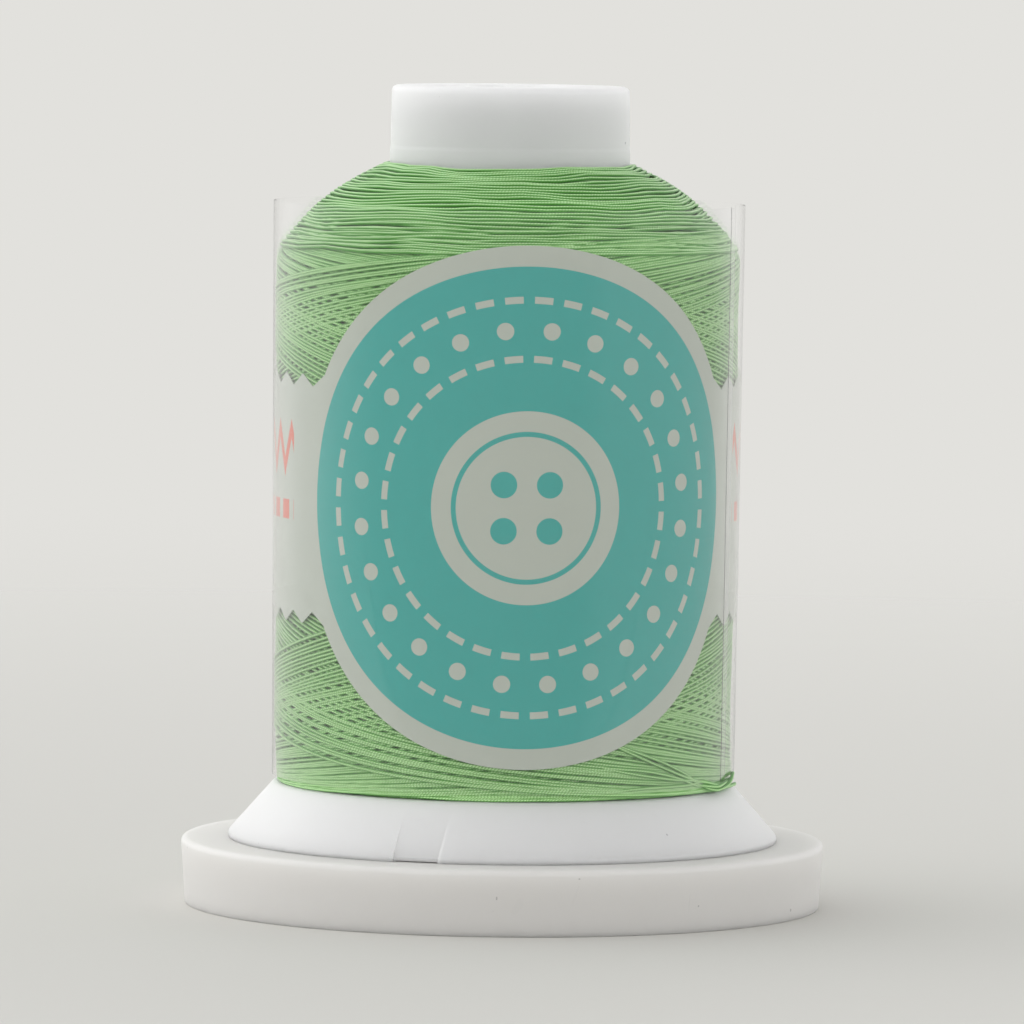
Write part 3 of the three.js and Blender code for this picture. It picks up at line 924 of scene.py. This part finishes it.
def strand(tree, sizes, leave, position, lean=0.0, tilt=0.0):
    """Draws a strand through as many places as the group has points. It is told where the place at each
    index is. The attributes along and around tell the material where a point lies on the strand: around is
    0.5 on its outside, which leans by an angle. Where the strand runs clockwise, a tilt of half a turn keeps
    that side outside."""
    def store(geometry, name, value):
        return add_node(tree, "GeometryNodeStoreNamedAttribute", {
            "Geometry": geometry, "Name": name, "Value": value}, data_type="FLOAT", domain="POINT")

    line = add_node(tree, "GeometryNodeCurvePrimitiveLine")
    points = add_node(tree, "GeometryNodeResampleCurve", {"Curve": line, "Count": sizes.points}, mode="COUNT")
    path = add_node(tree, "GeometryNodeSetPosition", {"Geometry": points, "Position": position})
    level = add_node(tree, "GeometryNodeSetCurveNormal", {"Curve": path}, mode="Z_UP")
    tilted = add_node(tree, "GeometryNodeSetCurveTilt", {"Curve": level, "Tilt": tilt})
    length = add_node(tree, "GeometryNodeSplineParameter").outputs["Length"]
    circle = add_node(tree, "GeometryNodeCurvePrimitiveCircle", {
        "Resolution": STRAND_SIDES, "Radius": sizes.strand / 2})
    turned = add_node(tree, "GeometryNodeTransform", {
        "Geometry": circle, "Rotation": (0, 0, SEAM_INWARDS + lean)})
    section = store(turned, "around", (index_of(tree) + 0.5) / STRAND_SIDES)
    tube = add_node(tree, "GeometryNodeCurveToMesh", {
        "Curve": store(tilted, "along", length), "Profile Curve": section, "Fill Caps": True})
    return finish(tree, sizes, leave, add_node(tree, "GeometryNodeSetShadeSmooth", {"Geometry": tube}))


def round_place(tree, radius, angle, height):
    """A place at a radius, an angle and a height."""
    return vector_of(tree, radius * angle.cosine(), radius * angle.sine(), height)


def unsteady(tree, value, seed, detail=0.0):
    """A number near 0 that changes with value, at most about 0.5 either way."""
    return noise(tree, value + seed, 1.0, detail) - 0.5


def barrel_winding_tree():
    """Thread that is wound across itself: it travels up and down the barrel while the barrel turns, and each
    double stroke lies beside the one before it. Later strokes lie on top of earlier ones."""
    tree, sizes, leave = new_group("barrel_winding", "GeometryNodeTree", {
        "First Stroke": 0.0, "Last Stroke": 40.0, "Strokes": 80.0, "Wraps": 4.0, "Points": 9600,
        "Start Angle": math.radians(324), "Low Radius": sleeve_radius(STROKE_LOW) - UNDER_FILM,
        "High Radius": sleeve_radius(STROKE_HIGH) - UNDER_FILM, "Build": 0.5 * MM,
        "Lowest": FOOT_TOP + 0.16 * MM, "Low": STROKE_LOW, "High": STROKE_HIGH, "Turnback": TURNBACK,
        "Strand": 0.32 * MM, "Wander": 0.2 * MM, "Seed": 1.0, "Material": None}, ("Geometry",))
    first, low, high = sizes.first_stroke, sizes.low, sizes.high
    stroke = first + (sizes.last_stroke - first) * index_of(tree) / (sizes.points - 1)
    age = stroke / sizes.strokes
    travel = stroke * (2 * math.pi)
    flatness = sizes.turnback
    swing = (travel.sine() * flatness).arcsine() / flatness.arcsine()
    seed = sizes.seed
    wander = sizes.wander
    # The ends of a stroke, its drift, its jitter and its lift each have a noise of their own, and multiples
    # of the seed keep them apart. The drift is read on a ring in the noise, which a double stroke goes round
    # once and which moves on a little each time, so that neighbours drift alike.
    end_shift = unsteady(tree, stroke * 2, seed * 17) * (4 * wander)
    ring = 2.2
    spot = vector_of(tree, travel.cosine() * ring, travel.sine() * ring, stroke * 0.16 + seed * 31)
    drift = (noise(tree, spot, 1.0, 1.0) - 0.5) * (5 * wander)
    jitter = unsteady(tree, stroke * 9, seed * 43) * (0.45 * wander)
    half = (high - low) / 2
    middle = (high + low) / 2
    height = (middle + (half + end_shift) * swing + drift + jitter).most(sizes.lowest)
    angle = sizes.start_angle + travel * (sizes.wraps - 1 / (sizes.strokes - 0.5))
    rise = (height - low) / (half * 2)
    last_radius = rise.blend(sizes.low_radius, sizes.high_radius)
    rounding = height.ramp(high - ROUNDED_BELOW, high + ROUNDED_ABOVE, 0.0, ROUNDED_DEPTH)
    lift = unsteady(tree, stroke * 5.3, seed * 59) * (0.2 * wander)
    radius = last_radius - sizes.build * (1 - age) - rounding + lift
    place = round_place(tree, radius, angle, height)
    return strand(tree, sizes, leave, place)


def shoulder_winding_tree():
    """Nearly level turns that cover the slope from the barrel in to the neck. They wave up and down and cross
    each other at small angles, because each is where a stroke turned back."""
    tree, sizes, leave = new_group("shoulder_winding", "GeometryNodeTree", {
        "Turns": 28.0, "Coverings": 3.0, "Points": 4284, "Low Radius": SHOULDER_LOW.x,
        "Low Height": SHOULDER_LOW.y, "High Radius": SHOULDER_HIGH.x, "High Height": SHOULDER_HIGH.y,
        "Bulge": 0.6 * MM, "Wave": 0.9 * MM, "Build": 0.6 * MM, "Strand": 0.32 * MM, "Seed": 1.0,
        "Material": None}, ("Geometry",))
    share = index_of(tree) / (sizes.points - 1)
    turn = share * sizes.turns * sizes.coverings
    rise = (share * sizes.coverings).swing(1.0)
    seed = sizes.seed
    angle = turn * (2 * math.pi)
    ring = 1.4  # read like the drift on the barrel, so that the turns of one covering wave alike
    spot = vector_of(tree, angle.cosine() * ring, angle.sine() * ring, share * sizes.coverings * 3.7 + seed)
    broad = noise(tree, spot, 1.0, 1.0) - 0.5
    fine = unsteady(tree, turn * 6.1, seed * 29, 1.0)
    inwards = sizes.high_radius - sizes.low_radius
    upwards = sizes.high_height - sizes.low_height
    slope_length = (inwards * inwards + upwards * upwards).root()
    waved = rise + (broad * 2.4 + fine * 0.45) * sizes.wave / slope_length
    kept = waved.most(0.0).least(1.0)
    lift = (kept * math.pi).sine() * sizes.bulge - sizes.build * (1 - share)
    radius = sizes.low_radius + kept * inwards + lift
    height = sizes.low_height + kept * upwards + lift
    place = round_place(tree, radius, angle, height)
    return strand(tree, sizes, leave, place, lean=SHOULDER_LEAN)


def thread_ends_tree():
    """The ends of the thread: strands that fan out of the winding, meet, and run on as a twisted bundle below
    the sleeve. It is drawn as one strand that goes to and fro."""
    tree, sizes, leave = new_group("thread_ends", "GeometryNodeTree", {
        "Passes": 5.0, "Points": 400, "Start Angle": math.radians(-90 + 25), "Sweep": math.radians(55),
        "Meeting Place": 0.58, "Sunk Radius": 20.1 * MM, "Meeting Radius": 20.3 * MM,
        "Bundle Radius": 20.75 * MM, "Meeting Height": 11.9 * MM, "Bundle Height": 11.35 * MM,
        "Low Start": 11.5 * MM, "High Start": 17.5 * MM, "Tip Rise": 0.6 * MM, "Bundle Width": 0.5 * MM,
        "Strand": 0.32 * MM, "Material": None}, ("Geometry",))
    share = index_of(tree) / (sizes.points - 1)
    passes = share * sizes.passes
    reach = passes.swing(1.0)
    meeting = sizes.meeting_place
    spread = (1 - reach / meeting).most(0.0)
    twist = passes * 2.4 + reach * 9  # radians round the bundle, from pass to pass and along each
    half_width = sizes.bundle_width / 2
    gathered = reach.ramp(meeting * 0.7, meeting, 0.3, 1.0)
    outside = reach.ramp(meeting, meeting + 0.15)
    start = share.blend(sizes.low_start, sizes.high_start)
    level = outside.blend(sizes.meeting_height, sizes.bundle_height)
    tip = reach.ramp(0.8, 1.0) * share * sizes.tip_rise
    height = level + tip + spread * (start - sizes.meeting_height) + twist.sine() * half_width * gathered
    under = reach.ramp(0.0, 0.2).blend(sizes.sunk_radius, sizes.meeting_radius)
    radius = outside.blend(under, sizes.bundle_radius) + twist.cosine() * half_width * outside
    place = round_place(tree, radius, sizes.start_angle + sizes.sweep * reach, height)
    back = (passes / 2).fraction().ramp(0.5, 0.501, 0.0, math.pi)
    return strand(tree, sizes, leave, place, tilt=back)


def thread_core(settings, material):
    """The inside of the winding, which the strands lie on."""
    coverings = 2
    depth = settings.build * coverings + settings.strand * 0.5
    high_radius = sleeve_radius(STROKE_HIGH) - UNDER_FILM - depth
    low_radius = sleeve_radius(STROKE_LOW) - UNDER_FILM - depth
    below_slope = Vector((-0.6, -0.8)) * MM
    low = SHOULDER_LOW + below_slope
    high = SHOULDER_HIGH + below_slope
    outline = rounded([
        (barrel_radius(FOOT_TOP) + 0.5 * MM, FOOT_TOP + 0.02 * MM),
        (low_radius, FOOT_TOP + 0.02 * MM, 0.1),
        (high_radius, low.y - MM, 0.6),
        (low.x, low.y, 0.4),
        (high.x, high.y, 0.2),
        (barrel_radius(high.y) + 0.15 * MM, high.y),
    ])
    return smooth(revolve("thread_core", outline, CORE_SEGMENTS, material))


class SPOOL_OT_thread(bpy.types.Operator):
    """Winds the thread: a core, strands crossing on the barrel, level turns on the shoulder, and the ends"""

    bl_idname = "thread_spool.thread"
    bl_label = "Thread"

    def execute(self, context):
        settings = context.scene.spool_thread
        material = cotton("dyed_cotton", settings.colour)
        core = thread_core(settings, packed_cotton("packed_cotton", settings.colour))
        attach(core, "spool")
        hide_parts("thread_pack")

        looks = {"Strand": settings.strand, "Material": material}
        tree = barrel_winding_tree()
        pieces = []
        for part in range(4):
            first = settings.strokes * (part / 2 - 1)
            last = first + settings.strokes / 2
            pieces.append(grow("thread_winding_%d" % (part + 1), tree, {
                "First Stroke": first, "Last Stroke": last, "Strokes": float(settings.strokes),
                "Wraps": settings.wraps, "Points": round((last - first) * settings.wraps * STEPS_PER_TURN),
                "Build": settings.build, "Lowest": FOOT_TOP + settings.strand / 2, **looks}))
        pieces.append(grow("thread_shoulder", shoulder_winding_tree(), looks))
        pieces.append(grow("thread_ends", thread_ends_tree(), looks))
        for piece in pieces:
            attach(piece, "spool")
            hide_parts("thread_turns")
        return {"FINISHED"}


# ---- Sleeve and label ----

TUCK_FADE = 3 * MM  # beside the seam, where the film comes back out to its own radius
TUCK_DEPTH = 1.1  # how deep the film goes at the seam, in thicknesses of the film
PAPER_TUCK = 1.3  # how deep the paper goes there

def thicken(piece, thickness):
    """Gives a sheet its thickness, inwards."""
    wall = piece.modifiers.new("wall", "SOLIDIFY")
    wall.thickness = thickness
    wall.offset = -1
    wall.use_even_offset = True
    return settle(piece)


def film_tucked(settings, angle):
    """How far the film lies under its own other end at an angle, from 0 to 1: fully at the seam, and then
    less and less on both sides of it."""
    seam = math.radians(-90) + settings.seam_turn - settings.lap / SLEEVE_RADIUS / 2
    beside = abs((angle - seam + math.pi) % (2 * math.pi) - math.pi) * SLEEVE_RADIUS
    share = min(max(1 - (beside - settings.lap / 2) / TUCK_FADE, 0), 1)
    return share * share * (3 - 2 * share)


class SPOOL_OT_sleeve(bpy.types.Operator):
    """Makes the clear film sleeve: a sheet rolled into a tube, with one end tucked under the other"""

    bl_idname = "thread_spool.sleeve"
    bl_label = "Film sleeve"

    def execute(self, context):
        settings = context.scene.spool_sleeve
        lap = settings.lap / SLEEVE_RADIUS
        start = math.radians(-90) + settings.seam_turn - lap
        sweep = 2 * math.pi + lap
        steps = 240
        rows = 12
        heights = [FILM_LOW + (FILM_HIGH - FILM_LOW) * row / rows for row in range(rows + 1)]
        ring = 2 * len(heights)
        vertices = []
        faces = []
        for step in range(steps + 1):
            angle = start + sweep * step / steps
            tucked = film_tucked(settings, angle) if step < steps / 2 else 0
            for side in (0, 1):
                for height in heights[::-1] if side else heights:
                    radius = sleeve_radius(height) - settings.film * (1 - side + TUCK_DEPTH * tucked)
                    vertices.append(around_axis(radius, angle, height))
            for place in range(ring if step < steps else 0):
                here = step * ring
                following = (place + 1) % ring
                faces.append((here + place, here + following, here + ring + following, here + ring + place))
        faces.append(tuple(range(ring - 1, -1, -1)))
        faces.append(tuple(steps * ring + place for place in range(ring)))
        piece = new_piece("film_sleeve", vertices, faces, clear_film())
        smooth(piece, math.radians(50))
        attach(piece, "sleeve")
        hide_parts("clear_sleeve")
        return {"FINISHED"}


def label_columns(radius):
    """Places along the paper with half the paper's height at each, from the middle of the round face."""
    band = LABEL_BAND / 2
    face_edge = math.sqrt(LABEL_FACE ** 2 - band ** 2)
    columns = []
    face_steps = 120
    face_turn = math.asin(face_edge / LABEL_FACE)
    for step in range(face_steps + 1):
        turn = face_turn * (2 * step / face_steps - 1)
        columns.append((LABEL_FACE * math.sin(turn), LABEL_FACE * math.cos(turn)))
    half_length = math.pi * radius - 0.2 * MM
    edges = PINKING_COUNT - 1
    pitch = (half_length - face_edge) / edges
    for edge in range(1, edges + 1):
        half = band - (PINKING_DEPTH if edge % 2 else 0)
        columns.append((face_edge + edge * pitch, half))
        columns.insert(0, (-face_edge - edge * pitch, half))
    return columns


class SPOOL_OT_label(bpy.types.Operator):
    """Makes the paper label inside the sleeve: a round face on a band with pinked edges"""

    bl_idname = "thread_spool.label"
    bl_label = "Label"

    def execute(self, context):
        settings = context.scene.spool_label
        sleeve = context.scene.spool_sleeve
        gap = sleeve.film + 0.02 * MM  # from the outside of the film to the face of the paper
        radius = sleeve_radius(LABEL_MIDDLE) - gap
        rows = 14
        vertices = []
        places = []
        faces = []
        columns = label_columns(radius)
        for column, (along, half) in enumerate(columns):
            angle = LABEL_TURN + along / radius
            for row in range(rows + 1):
                above = half * (2 * row / rows - 1)
                height = LABEL_MIDDLE + above
                reach = sleeve_radius(height) - gap - PAPER_TUCK * sleeve.film * film_tucked(sleeve, angle)
                vertices.append(around_axis(reach, angle, height))
                places.append((along, above, 0))
                if column < len(columns) - 1 and row < rows:
                    here = column * (rows + 1) + row
                    there = here + rows + 1
                    faces.append((here, there, there + 1, here + 1))
        piece = new_piece("paper_label", vertices, faces, printed_paper(settings))
        attribute = piece.data.attributes.new("paper_place", "FLOAT_VECTOR", "POINT")
        attribute.data.foreach_set("vector", [value for place in places for value in place])
        thicken(piece, settings.paper)
        smooth(piece)
        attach(piece, "sleeve")
        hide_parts("label")
        return {"FINISHED"}


# ---- Panel and registration ----

SETTINGS = {
    "spool_stage": StageSettings,
    "spool_moulding": MouldingSettings,
    "spool_thread": ThreadSettings,
    "spool_sleeve": SleeveSettings,
    "spool_label": LabelSettings,
}
OPERATORS = (SPOOL_OT_stage, SPOOL_OT_base, SPOOL_OT_body, SPOOL_OT_thread, SPOOL_OT_sleeve, SPOOL_OT_label)


class SPOOL_PT_panel(bpy.types.Panel):
    """Lists the pieces of the spool and their settings"""

    bl_idname = "SPOOL_PT_panel"
    bl_label = "Thread Spool"
    bl_space_type = "VIEW_3D"
    bl_region_type = "UI"
    bl_category = "Thread Spool"

    def draw(self, context):
        for operator in OPERATORS:
            self.layout.operator(operator.bl_idname)
        for name, group in SETTINGS.items():
            box = self.layout.box()
            box.label(text=name.removeprefix("spool_").capitalize())
            for setting in group.__annotations__:
                box.prop(getattr(context.scene, name), setting)


CLASSES = (*SETTINGS.values(), *OPERATORS, SPOOL_PT_panel)


def register():
    for added in CLASSES:
        bpy.utils.register_class(added)
    for name, group in SETTINGS.items():
        setattr(bpy.types.Scene, name, PointerProperty(type=group))


def unregister():
    for name in SETTINGS:
        delattr(bpy.types.Scene, name)
    for added in reversed(CLASSES):
        bpy.utils.unregister_class(added)


def main():
    register()
    bpy.ops.thread_spool.stage()
    bpy.ops.thread_spool.base()
    bpy.ops.thread_spool.body()
    bpy.ops.thread_spool.thread()
    bpy.ops.thread_spool.sleeve()
    bpy.ops.thread_spool.label()


if __name__ == "__main__":
    main()
